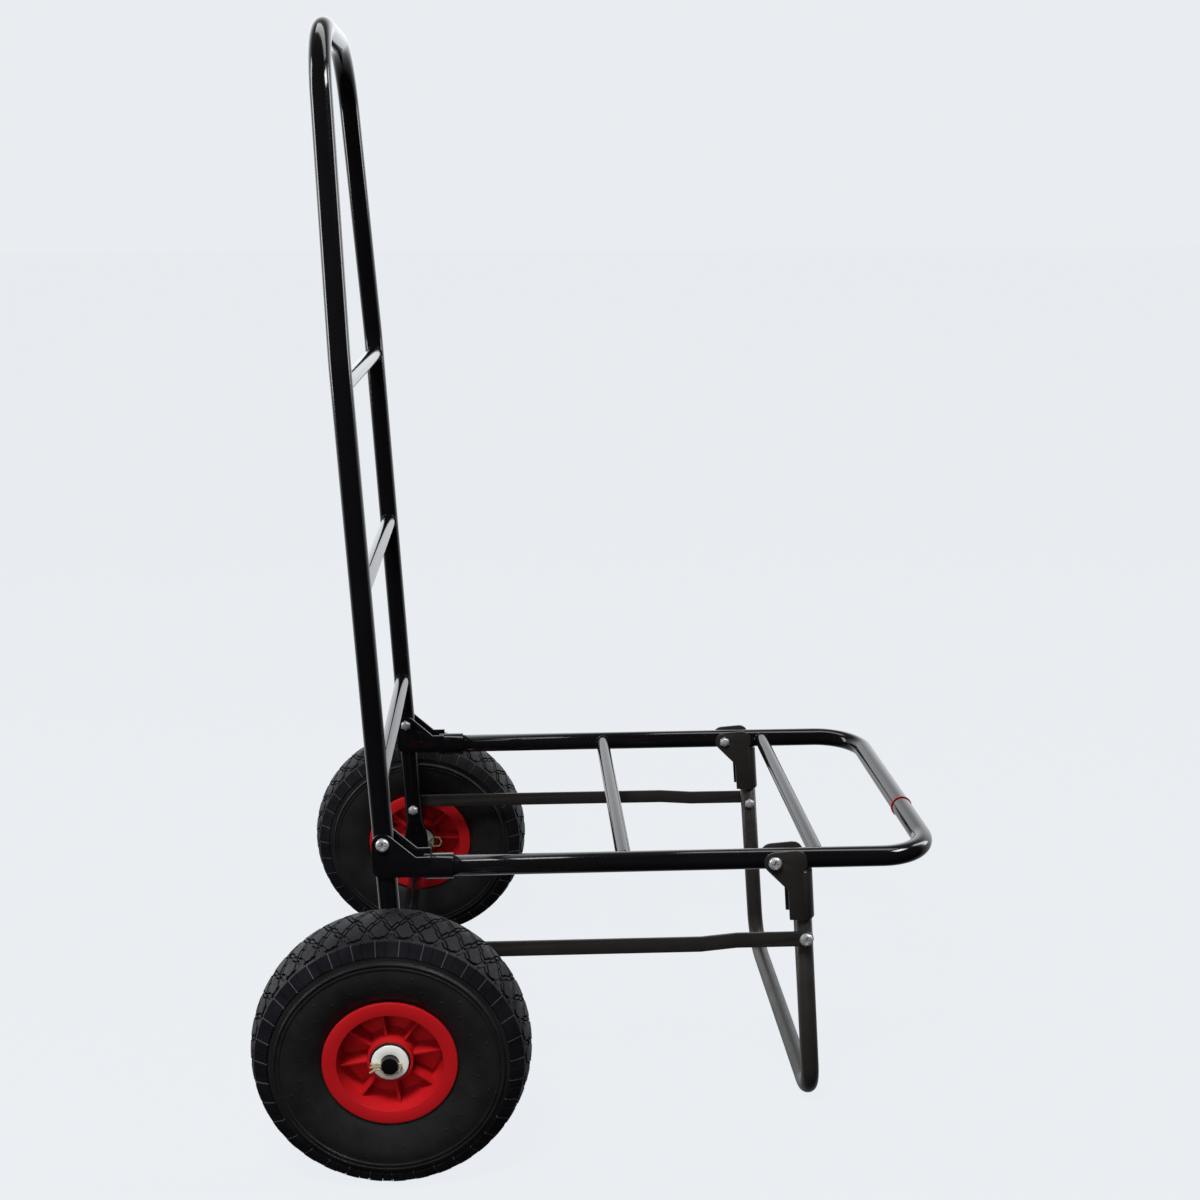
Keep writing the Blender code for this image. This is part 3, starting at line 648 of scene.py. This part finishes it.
def crossReach(angle, long, wide):  # how far a cross reaches from its middle at an angle
    across, up = max(abs(math.cos(angle)), 0.001), max(abs(math.sin(angle)), 0.001)
    return max(min(long / across, wide / up), min(wide / across, long / up))


def boltHead():  # stands along +Y from the XZ plane
    profile = [(head["shank"], -head["sunk"])]
    profile += [(head["radius"] * out, head["height"] * up) for out, up in head["curve"]]
    profile += [(head["flat"], head["height"])]
    shape = spunShape(profile, 48, closed=False)
    rim = [edge for edge in shape.edges if edge.is_boundary and edge.verts[0].co.y > head["height"] / 2]
    for drop, shrink in ((0, 1), (head["recess"], head["recessTaper"])):
        rim = pushRing(shape, rim, (0, -drop, 0))
        for vert in {vert for edge in rim for vert in edge.verts}:
            angle = math.atan2(vert.co.z, vert.co.x)
            reach = crossReach(angle, head["armLong"] * shrink, head["armWide"] * shrink)
            vert.co.x, vert.co.z = reach * math.cos(angle), reach * math.sin(angle)
    bmesh.ops.holes_fill(shape, edges=shape.edges, sides=0)
    bmesh.ops.recalc_face_normals(shape, faces=shape.faces)
    return shape


def domedNut():  # stands along -Y from the XZ plane
    shape = bmesh.new()
    bmesh.ops.create_cone(shape, cap_ends=True, segments=6, radius1=nut["radius"], radius2=nut["radius"],
                          depth=nut["base"], matrix=Matrix.Translation((0, -nut["base"] / 2, 0)) @ alongY)
    softenEdges(shape, nut["edge"])
    angles = [math.radians(degrees) for degrees in range(0, 91, 15)]
    dome = [(0, -nut["base"] / 2), (nut["dome"], -nut["base"] / 2)]
    dome += [(nut["dome"] * math.cos(a), -nut["base"] - (nut["height"] - nut["base"]) * math.sin(a))
             for a in angles]
    return joinShapes(shape, spunShape(dome, 32))


def shankShape(length, sign):  # a round shank from the XZ plane to a side
    shape = bmesh.new()
    bmesh.ops.create_cone(shape, cap_ends=True, segments=20, radius1=head["shank"], radius2=head["shank"],
                          depth=length, matrix=Matrix.Translation((0, sign * length / 2, 0)) @ alongY)
    return shape


def makeFastener(name, node, body, kind):
    low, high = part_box(node)
    middle = (low + high) / 2
    sign = math.copysign(1, middle.y)
    nearest, furthest = sorted((abs(low.y), abs(high.y)))
    if kind == "bolt":
        outerFace = furthest - head["height"]
        shape = joinShapes(boltHead(), shankShape(outerFace - nearest, -1))
    else:
        outerFace = nearest + nut["height"]
        shape = domedNut()
    if kind == "stud":
        joinShapes(shape, shankShape(furthest - outerFace, 1))
    placeShape(shape, (middle.x, sign * outerFace, middle.z), facing(sign))
    finishPiece(name, shape, zincPlate, body, [node], 40)


def makeFasteners():
    for side, _ in sides:
        label = side.capitalize()
        for start, body in (("platform_pivot", "handle"), ("link_pivot", "handle"),
                            ("leg_pivot", "platform")):
            words = "".join(word.capitalize() for word in start.split("_"))
            makeFastener(f"bolt{words}{label}", f"{start}_{side}_bolt", body, "bolt")
            makeFastener(f"nut{words}{label}", f"{start}_{side}_nut", body, "nut")
        makeFastener(f"boltLinkFront{label}", f"link_front_{side}_bolt", f"{side}_link", "bolt")
        makeFastener(f"studLinkFront{label}", f"link_front_{side}_stud", "leg", "stud")


makeFasteners()
print("fasteners made")

# Axle, washers, spacers and cotter pins
axle = {"radius": 0.008, "chamfer": 0.0012, "washerPlay": 0.0004, "spacerBore": 0.0034}
pin = {"wire": 0.0009, "around": 10, "stepAngle": 15, "knee": 0.0115, "neck": 0.0125, "eyeStart": 0.0152,
       "eyeEnd": 0.0266, "eyeRound": 0.0030, "loop": 0.0058, "smallBend": 0.0022, "wrap": 0.0022}


def makeAxle():
    low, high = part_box("axle")
    shape = bmesh.new()
    bmesh.ops.create_cone(shape, cap_ends=True, segments=48, radius1=axle["radius"],
                          radius2=axle["radius"], depth=high.y - low.y, matrix=alongY)
    softenEdges(shape, axle["chamfer"], 2, 60)
    placeShape(shape, axlePlace)
    finishPiece("axleBar", shape, blackEnamel, "handle", ["axle"])


def makeRing(name, node, bore, material, body="handle", soften=0.0004):
    low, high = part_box(node)
    outer, half = (high.z - low.z) / 2, (high.y - low.y) / 2
    shape = spunShape([(bore, -half), (bore, half), (outer, half), (outer, -half)], 64)
    softenEdges(shape, soften)
    placeShape(shape, (low + high) / 2)
    finishPiece(name, shape, material, body, [node])


def pinTube(corners, bends):
    return bentTube(corners, bends, pin["wire"], pin["around"], pin["stepAngle"])


def springPin():  # a doubled wire along X: an eye on the +X side, two spread tips on the other
    gap, loop, eyeSide = pin["wire"], pin["loop"], pin["eyeEnd"] - pin["eyeRound"]
    upper = [(-pin["knee"], 0, gap), (pin["neck"], 0, gap), (pin["eyeStart"], 0, loop), (eyeSide, 0, loop)]
    lower = [(x, 0, -z) for x, _, z in reversed(upper)]
    corners = [(-0.0185, 0, 0.0050 + gap)] + upper + [(pin["eyeEnd"], 0, 0)] + lower
    corners += [(-0.0175, 0, -0.0062 - gap)]
    small = pin["smallBend"]
    shape = pinTube(corners, [0.004, 0.002, small, small, small, small, small, 0.002, 0.004])
    bmesh.ops.holes_fill(shape, edges=shape.edges, sides=0)
    return shape


def wrappedPin():  # its eye pressed round under the axle end, with the tips spread behind
    gap, reach = pin["wire"], axle["radius"] + pin["wrap"]
    arc = [math.radians(degrees) for degrees in range(-30, -166, -27)]
    corners = [(-0.0175, 0, 0.0012), (-pin["knee"], 0, gap), (0.0108, 0, gap)]
    corners += [(reach * math.cos(a), -0.0012, reach * math.sin(a)) for a in arc]
    corners += [(-0.0185, -0.001, -0.0072)]
    shape = pinTube(corners, [0.004, 0.0015] + [0.003] * len(arc))
    joinShapes(shape, pinTube([(0.0100, 0, -gap), (-0.0120, 0, -gap), (-0.0180, 0.0004, -0.0026)], [0.004]))
    bmesh.ops.holes_fill(shape, edges=shape.edges, sides=0)
    bmesh.ops.recalc_face_normals(shape, faces=shape.faces)
    return shape


def makeAxleParts():
    makeAxle()
    for side, _ in sides:
        label = side.capitalize()
        makeRing(f"linkSpacer{label}", f"link_spacer_{side}", axle["spacerBore"], zincPlate,
                 soften=0.0002)
        for face in ("inner", "outer"):
            words = face.capitalize() + label
            makeRing(f"axleWasher{words}", f"axle_washer_{face}_{side}",
                     axle["radius"] + axle["washerPlay"], washerPlate)
            node = f"cotter_pin_{face}_{side}"
            low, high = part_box(node)
            shape = springPin() if face == "inner" or side == "left" else wrappedPin()
            placeShape(shape, (axlePlace.x, (low.y + high.y) / 2, axlePlace.z))
            finishPiece(f"cotterPin{words}", shape, pinPlate, "handle", [node], 60)


makeAxleParts()
print("axle parts made")

# Rim: a spun shell with eight ribs in each dish
rim = {"bore": 0.0122, "seat": 0.0185, "hubOuter": 0.0212, "hubHalf": 0.029, "seatAt": 0.017, "web": 0.003,
       "hubDraft": 0.0008, "dishFloor": 0.0450, "dishMouth": 0.0487, "flange": 0.0338,
       "flangeRadius": 0.0621, "beadSeat": ((0.0621, 0.0308), (0.0535, 0.0290), (0.0506, 0.0238)),
       "edge": 0.0007, "ribs": 8, "ribHalf": 0.0225, "ribThick": 0.0026, "ribEdge": 0.0005,
       "turns": {"left": 0.0, "right": math.radians(8.5)}}


def mirroredProfile(half):
    return half + [(radius, -along) for radius, along in reversed(half) if along > 0]


def rimShape(side):
    half = [(rim["bore"], rim["seatAt"]), (rim["seat"], rim["seatAt"]), (rim["seat"], rim["hubHalf"]),
            (rim["hubOuter"], rim["hubHalf"]), (rim["hubOuter"] + rim["hubDraft"], rim["web"]),
            (rim["dishFloor"], rim["web"]), (rim["dishMouth"], rim["flange"]),
            (rim["flangeRadius"] - 0.0008, rim["flange"]), (rim["flangeRadius"], rim["flange"] - 0.0010)]
    shape = spunShape(mirroredProfile(half + list(rim["beadSeat"])), 96)
    softenEdges(shape, rim["edge"], 2, 28)
    inner, outer = rim["hubOuter"] - 0.0006, rim["dishMouth"] - 0.0008  # sunk into the hub and the mouth
    size = Matrix.Diagonal((outer - inner, 2 * rim["ribHalf"], rim["ribThick"], 1))
    for number in range(rim["ribs"]):
        rib = bmesh.new()
        bmesh.ops.create_cube(rib, size=1, matrix=Matrix.Translation(((inner + outer) / 2, 0, 0)) @ size)
        softenEdges(rib, rim["ribEdge"])
        turn = Matrix.Rotation(rim["turns"][side] + math.tau * number / rim["ribs"], 4, "Y")
        placeShape(rib, (0, 0, 0), turn)
        joinShapes(shape, rib)
    return shape


# Tyre: carcass spun from its section, tread blocks laid on the crown and wrapped round it
tyre = {"radius": 0.130, "pitches": 35, "crownArc": 0.0815, "edgeY": 0.0335, "sideY": 0.0402,
        "sideR": 0.1108, "depth": 0.0032, "sideDepth": 0.0021, "around": 140,
        "row": 0.0205, "island": 0.74, "cap": 0.0092, "strip": 0.00115, "step": 0.0014, "cut": 0.004,
        "slitAt": 0.0079, "seamAt": -0.0056, "slit": 0.0009, "seam": 0.0002, "flash": 0.0004,
        "shoulderFrom": 0.0316, "flashFrom": 0.0335, "shoulderMiddle": 0.037,
        "innerCrown": 0.1205, "inside": ((0.0170, 0.0513), (0.0310, 0.0700), (0.0376, 0.0940),
                                         (0.0300, 0.1150)),
        "dots": ((0.0815, 24, 0.0408), (0.0925, 12, 0.0420)), "dotSize": 0.0011,
        # The sidewall from the shoulder down to the bead, as (Y, radius): a groove, three ridges, the flank
        "sidewall": ((0.0388, 0.1088), (0.0388, 0.1060), (0.0410, 0.1052), (0.0423, 0.1044),
                     (0.0424, 0.1036), (0.0410, 0.1028), (0.0408, 0.1012), (0.0424, 0.1004),
                     (0.0424, 0.0996), (0.0412, 0.0988), (0.0417, 0.0950), (0.0422, 0.0910),
                     (0.0418, 0.0860), (0.0405, 0.0800), (0.0384, 0.0735), (0.0350, 0.0675),
                     (0.0318, 0.0638), (0.0303, 0.0624), (0.0288, 0.0540), (0.0240, 0.0513))}
pitchWidth = math.tau * tyre["radius"] / tyre["pitches"]
crownReach = tyre["crownArc"] * math.asin(tyre["edgeY"] / tyre["crownArc"])
edgeR = tyre["radius"] - tyre["crownArc"] + math.sqrt(tyre["crownArc"] ** 2 - tyre["edgeY"] ** 2)
sideRun = Vector((tyre["sideY"] - tyre["edgeY"], tyre["sideR"] - edgeR))
treadReach = crownReach + sideRun.length


def treadPoint(across, lift):  # (Y, radius) at a distance across the tread, lift 1 at the blocks' tops
    away = abs(across)
    if away <= crownReach:
        angle = away / tyre["crownArc"]
        top = Vector((math.sin(angle), math.cos(angle))) * tyre["crownArc"]
        top.y += tyre["radius"] - tyre["crownArc"]
    else:
        top = Vector((tyre["edgeY"], edgeR)) + sideRun.normalized() * (away - crownReach)
    angle = min(away, crownReach) / tyre["crownArc"]
    crownNormal = Vector((math.sin(angle), math.cos(angle)))
    sideNormal = Vector((-sideRun.y, sideRun.x)).normalized()
    share = min(max((away - crownReach) / 0.004 + 0.5, 0), 1)
    normal = crownNormal.lerp(sideNormal, share).normalized()
    depth = tyre["depth"] + (tyre["sideDepth"] - tyre["depth"]) * min(away / treadReach, 1)
    point = top - normal * depth * (1 - lift)
    return math.copysign(point.x, across), point.y


def wrapOnTyre(shape):  # from flat (along, across, lift) to the tyre's crown
    for vert in shape.verts:
        y, radius = treadPoint(vert.co.y, vert.co.z)
        angle = vert.co.x / tyre["radius"]
        vert.co = (radius * math.cos(angle), y, radius * math.sin(angle))


def treadBlock(shape, outline, cuts, centre, top=1.0, taper=0.95, finish=1):  # one raised block
    block = bmesh.new()
    block.faces.new([block.verts.new((u, v, -0.12)) for u, v in outline])
    alongCuts = (centre[0] - tyre["cut"], centre[0], centre[0] + tyre["cut"])
    for normal, places in (((0, 1, 0), cuts), ((1, 0, 0), alongCuts)):  # cut to follow the crown
        for place in places:
            bmesh.ops.bisect_plane(block, geom=block.verts[:] + block.edges[:] + block.faces[:],
                                   plane_co=Vector(normal) * place, plane_no=normal)
    for lift, shrink in ((top * 0.85, 1 - (1 - taper) / 3), (top, taper)):  # walls, then a sloped edge
        highest = max(vert.co.z for vert in block.verts)
        cover = [face for face in block.faces if all(vert.co.z == highest for vert in face.verts)]
        firstLift = highest < 0  # the bottom stays, so the block is closed
        drawn = bmesh.ops.extrude_face_region(block, geom=cover, use_keep_orig=firstLift)["geom"]
        if not firstLift:
            bmesh.ops.delete(block, geom=[face for face in cover if face.is_valid], context="FACES")
        for vert in onlyVerts(drawn):
            vert.co.z = lift
            vert.co.x = centre[0] + (vert.co.x - centre[0]) * shrink
            vert.co.y = centre[1] + (vert.co.y - centre[1]) * shrink
    for face in block.faces:
        face.material_index = finish
    joinShapes(shape, block)


def steppedDiamond(centre):  # a diamond whose sides step sideways half way along
    half = Vector((pitchWidth / 2 * tyre["island"], tyre["row"] * tyre["island"]))
    points = []
    corners = [(half.x, 0), (0, half.y), (-half.x, 0), (0, -half.y)]
    for first, last in zip(corners, corners[1:] + corners[:1]):
        first, last = Vector(first), Vector(last)
        out = Vector((last - first).yx) * Vector((1, -1))
        out = out.normalized() * tyre["step"] / 2
        middle = (first + last) / 2
        points += [first.lerp(last, 0.06) + out, middle + out, middle - out, first.lerp(last, 0.94) - out]
    cutOff = []
    for point in points:
        outward = point.y * math.copysign(1, centre[1])
        if centre[1] and outward > tyre["cap"]:
            point *= tyre["cap"] / outward
        cutOff.append((centre[0] + point.x, centre[1] + point.y))
    return cutOff


def addDiamonds(shape):
    for centre in ((0, 0), (pitchWidth / 2, tyre["row"]), (pitchWidth / 2, -tyre["row"])):
        cuts = [centre[1] + tyre["cut"] * number for number in range(-3, 4)]
        treadBlock(shape, steppedDiamond(centre), cuts, centre)


def addStrips(shape, acrossSign, alongSign):  # narrow strips in the grooves between the diamonds
    row, wide = acrossSign * tyre["row"], alongSign * pitchWidth / 2
    inner = (Vector((wide, 0)), Vector((0, row)))
    outer = (Vector((0, row)), Vector((wide, 2 * row)))
    # Each strip's line, the shares of it where the strip starts and ends, and the side it steps to
    for (start, end), first, last, shift in ((inner, 0.11, 0.47, 1), (inner, 0.52, 0.88, -1),
                                             (outer, 0.12, 0.43, 1)):
        run = (end - start).normalized()
        out = Vector((run.y, -run.x))
        middle = start.lerp(end, (first + last) / 2) + out * shift * tyre["step"] / 2
        reach, half = (end - start) * (last - first) / 2, out * tyre["strip"]
        corners = (middle - reach - half, middle + reach - half, middle + reach + half,
                   middle - reach + half)
        treadBlock(shape, [tuple(corner) for corner in corners], (middle.y,), middle, 0.86)


def addShoulder(shape, acrossSign):  # a smooth block, a toothed one and the pale flash in the slit
    cuts = [acrossSign * cut for cut in (0.0325, crownReach, 0.0365, 0.0420)]
    first, seam, last = tyre["slitAt"] - pitchWidth, tyre["seamAt"], tyre["slitAt"]
    start, bar = tyre["shoulderFrom"], tyre["flashFrom"]
    smooth = [(first + tyre["slit"], treadReach), (first + tyre["slit"], start),
              (seam - tyre["seam"], start), (seam - tyre["seam"], treadReach)]
    toothed = [(seam + tyre["seam"], treadReach), (seam + tyre["seam"], start), (-0.0034, 0.0311),
               (-0.0009, 0.0266), (0.0009, 0.0266), (0.0034, 0.0311), (last - tyre["slit"], start),
               (last - tyre["slit"], treadReach)]
    flash = [(last - tyre["flash"], treadReach), (last - tyre["flash"], bar),
             (last + tyre["flash"], bar), (last + tyre["flash"], treadReach)]
    for outline, top, taper, finish in ((smooth, 0.86, 0.985, 1), (toothed, 1.0, 0.985, 1),
                                        (flash, 0.97, 0.99, 2)):
        middle = Vector(((outline[0][0] + outline[-1][0]) / 2, acrossSign * tyre["shoulderMiddle"]))
        treadBlock(shape, [(u, v * acrossSign) for u, v in outline], cuts, middle, top, taper, finish)


def treadPitch():  # everything in one pitch of the tread, flat
    shape = bmesh.new()
    addDiamonds(shape)
    for acrossSign in (1, -1):
        for alongSign in (1, -1):
            addStrips(shape, acrossSign, alongSign)
        addShoulder(shape, acrossSign)
    bmesh.ops.remove_doubles(shape, verts=shape.verts, dist=sameSpot / 10)
    return shape


def tyreShape():
    tread = treadPitch()
    wrapOnTyre(tread)
    bmesh.ops.recalc_face_normals(tread, faces=tread.faces)
    copies = tyre["pitches"] - 1
    bmesh.ops.spin(tread, geom=tread.verts[:] + tread.edges[:] + tread.faces[:], cent=(0, 0, 0),
                   axis=(0, 1, 0), angle=math.tau * copies / tyre["pitches"], steps=copies,
                   use_duplicate=True)
    base = [treadPoint(treadReach * step / 12, 0) for step in range(13)]
    outline = tyre["inside"][::-1] + tyre["sidewall"][::-1] + tuple(reversed(base))
    half = [(tyre["innerCrown"], 0)] + [(radius, y) for y, radius in outline]
    shape = spunShape(mirroredProfile(half), tyre["around"])
    joinShapes(shape, tread)
    for radius, count, y in tyre["dots"]:
        for number in range(count):
            turn = Matrix.Rotation(math.tau * (number + 0.5) / count, 4, "Y")
            for sign in (1, -1):
                bmesh.ops.create_icosphere(shape, subdivisions=1, radius=tyre["dotSize"],
                                           matrix=Matrix.Translation(turn @ Vector((radius, sign * y, 0))))
    return shape


valve = {"at": -0.0105, "seat": 0.0515, "turns": {"left": math.pi, "right": 0.0},
         "profile": ((0, 0.0200), (0.0020, 0.0200), (0.0022, 0.0190), (0.0022, 0.0128), (0.0032, 0.0122),
                     (0.0040, 0.0110), (0.0042, 0.0020), (0.0042, -0.004), (0, -0.004))}


def valveShape(side):  # stands in the dish, half way between two ribs
    shape = spunShape(valve["profile"], 24, closed=False)
    turn = Matrix.Rotation(rim["turns"][side] + math.pi / rim["ribs"] + valve["turns"][side], 4, "Y")
    placeShape(shape, (valve["seat"], valve["at"], 0), Matrix.Rotation(math.pi / 2, 4, "Z"))
    return placeShape(shape, (0, 0, 0), turn)


bearing = {"bore": 0.0083}


def makeWheels():
    for side, sign in sides:
        label, body = side.capitalize(), f"{side}_wheel"
        place = Vector((wheelCentre.x, sign * trackHalf, wheelCentre.z))
        pieces = ((f"rim{label}", rimShape(side), rimRed, f"wheel_rim_{side}", "red_plastic", 35),
                  (f"tyre{label}", tyreShape(), tyreBlack, f"tyre_{side}", "tyre_rubber", 30),
                  (f"valveStem{label}", valveShape(side), butylBlack, f"valve_stem_{side}",
                   "valve_rubber", 35))
        for name, shape, material, node, slot, angle in pieces:
            placeShape(shape, place, facing(sign))
            piece = finishPiece(name, shape, material, body, [node], angle)
            if material == tyreBlack:
                piece.data.materials.append(treadBlackPaintedSky)
                piece.data.materials.append(flashGrey)
        for face in ("inner", "outer"):
            makeRing(f"bearing{face.capitalize()}{label}", f"wheel_bearing_{face}_{side}",
                     bearing["bore"], bearingGrey, body)
        frame["nodes"][f"inner_tube_{side}"].data.materials[0] = butylBlack


makeWheels()
print("wheels made")

# Thin latex band, hanging loose round the front bar
band = {"wire": 0.0006, "slack": 0.0008, "around": 10, "steps": 60}


def makeBand():
    low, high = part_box("red_band")
    shape = hoopShape(platform["tubeRadius"] + band["wire"], band["wire"], band["around"], band["steps"])
    for vert in shape.verts:
        angle = math.atan2(vert.co.z, vert.co.x)
        vert.co.y += band["slack"] * (math.sin(angle) + 0.4 * math.sin(2 * angle + 1))
    bmesh.ops.recalc_face_normals(shape, faces=shape.faces)
    placeShape(shape, (low + high) / 2)
    finishPiece("redBand", shape, bandRed, "platform", ["red_band"], 60)


makeBand()
print("band made")
